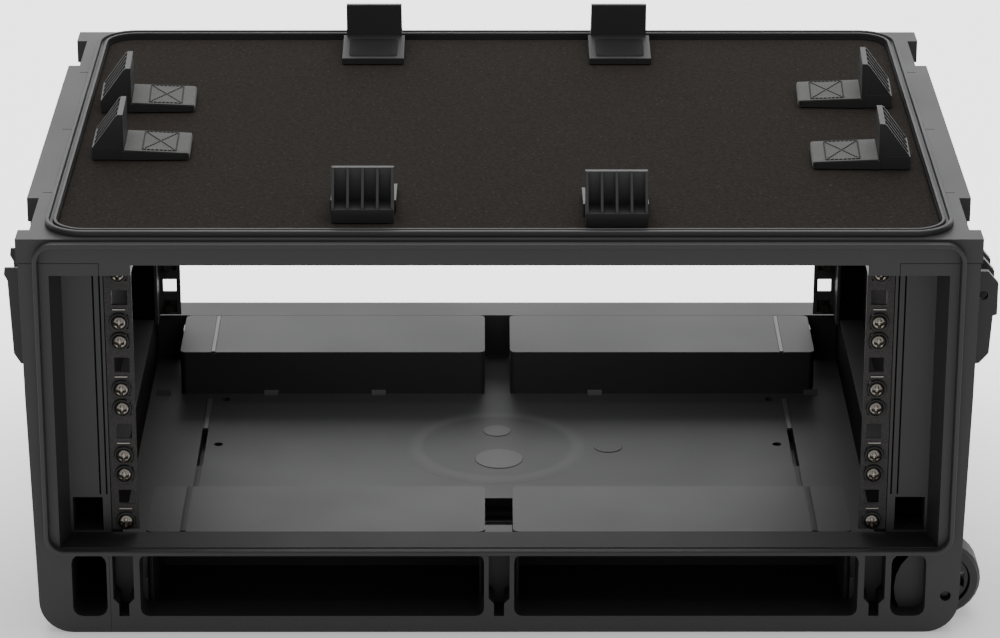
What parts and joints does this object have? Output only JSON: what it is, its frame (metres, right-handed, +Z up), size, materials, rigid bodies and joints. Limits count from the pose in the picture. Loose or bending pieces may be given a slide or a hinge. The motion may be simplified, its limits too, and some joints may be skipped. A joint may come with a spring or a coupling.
{
  "type": "equipment rack case",
  "caption": "Wheeled four-unit equipment rack case with lids off: moulded shell, steel rack rails, carpeted deck with computer hold-down brackets, wheels, tow and carry handles",
  "frame": {"origin": "on the ground plane under the middle of the case, midway between the sealing faces and between the rack rails", "axes": "+X to the wheel side, -Y to the front opening, +Z up"},
  "size_m": [0.6085, 0.4292, 0.292],
  "materials": {
    "axle_front": "bright nickel plate",
    "axle_rear": "bright nickel plate",
    "bracket_front_left": "fine leather-grain moulding",
    "bracket_front_right": "fine leather-grain moulding",
    "bracket_left_front": "fine leather-grain moulding",
    "bracket_left_rear": "fine leather-grain moulding",
    "bracket_rear_left": "fine leather-grain moulding",
    "bracket_rear_right": "fine leather-grain moulding",
    "bracket_right_front": "fine leather-grain moulding",
    "bracket_right_rear": "fine leather-grain moulding",
    "carpet_panel": "needle-punched pile",
    "carry_handle_left": "fine leather-grain moulding",
    "carry_handle_right": "fine leather-grain moulding",
    "floor_pan": "fine leather-grain moulding",
    "latch_keeper_front": "fine leather-grain moulding",
    "latch_keeper_rear": "fine leather-grain moulding",
    "lid_hinge_front": "fine leather-grain moulding",
    "lid_hinge_rear": "fine leather-grain moulding",
    "pull_handle": "satin black",
    "rail_front_left": "fine-texture black powder coat",
    "rail_front_right": "fine-texture black powder coat",
    "rail_rear_left": "fine-texture black powder coat",
    "rail_rear_right": "fine-texture black powder coat",
    "screw_left_1_high": "bright nickel plate",
    "screw_left_1_low": "bright nickel plate",
    "screw_left_2_high": "bright nickel plate",
    "screw_left_2_low": "bright nickel plate",
    "screw_left_3_high": "bright nickel plate",
    "screw_left_3_low": "bright nickel plate",
    "screw_left_4_high": "bright nickel plate",
    "screw_left_4_low": "bright nickel plate",
    "screw_right_1_high": "bright nickel plate",
    "screw_right_1_low": "bright nickel plate",
    "screw_right_2_high": "bright nickel plate",
    "screw_right_2_low": "bright nickel plate",
    "screw_right_3_high": "bright nickel plate",
    "screw_right_3_low": "bright nickel plate",
    "screw_right_4_high": "bright nickel plate",
    "screw_right_4_low": "bright nickel plate",
    "seat_ring": "fine leather-grain moulding",
    "shelf_front_left": "fine leather-grain moulding",
    "shelf_front_right": "fine leather-grain moulding",
    "shelf_rear_left": "fine leather-grain moulding",
    "shelf_rear_right": "fine leather-grain moulding",
    "side_wall_left": "fine leather-grain moulding",
    "side_wall_right": "fine leather-grain moulding",
    "sill_front": "fine leather-grain moulding",
    "sill_rear": "fine leather-grain moulding",
    "strap_left_front": "woven polyester webbing",
    "strap_left_rear": "woven polyester webbing",
    "strap_right_front": "woven polyester webbing",
    "strap_right_rear": "woven polyester webbing",
    "tongue_front": "fine leather-grain moulding",
    "tongue_rear": "fine leather-grain moulding",
    "top_deck": "fine leather-grain moulding",
    "wheel_front": "satin",
    "wheel_rear": "satin"
  },
  "bodies": {
    "case": {"axle_front": "axle_front", "axle_rear": "axle_rear", "bracket_front_left": "bracket_front_left", "bracket_front_right": "bracket_front_right", "bracket_left_front": "bracket_left_front", "bracket_left_rear": "bracket_left_rear", "bracket_rear_left": "bracket_rear_left", "bracket_rear_right": "bracket_rear_right", "bracket_right_front": "bracket_right_front", "bracket_right_rear": "bracket_right_rear", "carpet_panel": "carpet_panel", "floor_pan": "floor_pan", "latch_keeper_front": "latch_keeper_front", "latch_keeper_rear": "latch_keeper_rear", "lid_hinge_front": "lid_hinge_front", "lid_hinge_rear": "lid_hinge_rear", "rail_front_left": "rail_front_left", "rail_front_right": "rail_front_right", "rail_rear_left": "rail_rear_left", "rail_rear_right": "rail_rear_right", "screw_left_1_high": "screw_left_1_high", "screw_left_1_low": "screw_left_1_low", "screw_left_2_high": "screw_left_2_high", "screw_left_2_low": "screw_left_2_low", "screw_left_3_high": "screw_left_3_high", "screw_left_3_low": "screw_left_3_low", "screw_left_4_high": "screw_left_4_high", "screw_left_4_low": "screw_left_4_low", "screw_right_1_high": "screw_right_1_high", "screw_right_1_low": "screw_right_1_low", "screw_right_2_high": "screw_right_2_high", "screw_right_2_low": "screw_right_2_low", "screw_right_3_high": "screw_right_3_high", "screw_right_3_low": "screw_right_3_low", "screw_right_4_high": "screw_right_4_high", "screw_right_4_low": "screw_right_4_low", "seat_ring": "seat_ring", "shelf_front_left": "shelf_front_left", "shelf_front_right": "shelf_front_right", "shelf_rear_left": "shelf_rear_left", "shelf_rear_right": "shelf_rear_right", "side_wall_left": "side_wall_left", "side_wall_right": "side_wall_right", "sill_front": "sill_front", "sill_rear": "sill_rear", "strap_left_front": "strap_left_front", "strap_left_rear": "strap_left_rear", "strap_right_front": "strap_right_front", "strap_right_rear": "strap_right_rear", "tongue_front": "tongue_front", "tongue_rear": "tongue_rear", "top_deck": "top_deck"},
    "wheel_front": {"wheel_front": "wheel_front"},
    "wheel_rear": {"wheel_rear": "wheel_rear"},
    "carry_handle_left": {"carry_handle_left": "carry_handle_left"},
    "carry_handle_right": {"carry_handle_right": "carry_handle_right"},
    "pull_handle": {"pull_handle": "pull_handle"}
  },
  "joints": [
    {"name": "wheel_front_spin", "type": "hinge", "parent": "case", "child": "wheel_front", "pos_m": [0.2786, -0.1745, 0.0247], "axis": [0, 1, 0], "continuous": true},
    {"name": "wheel_rear_spin", "type": "hinge", "parent": "case", "child": "wheel_rear", "pos_m": [0.2786, 0.1745, 0.0247], "axis": [0, 1, 0], "continuous": true},
    {"name": "carry_left_swing", "type": "hinge", "parent": "case", "child": "carry_handle_left", "pos_m": [-0.276, 0, 0.178], "axis": [0, 1, 0], "range_deg": [0, 85]},
    {"name": "carry_right_swing", "type": "hinge", "parent": "case", "child": "carry_handle_right", "pos_m": [0.276, 0, 0.178], "axis": [0, -1, 0], "range_deg": [0, 85]},
    {"name": "pull_slide", "type": "slide", "parent": "case", "child": "pull_handle", "axis": [-1, 0, 0], "range_m": [0, 0.3]}
  ]
}
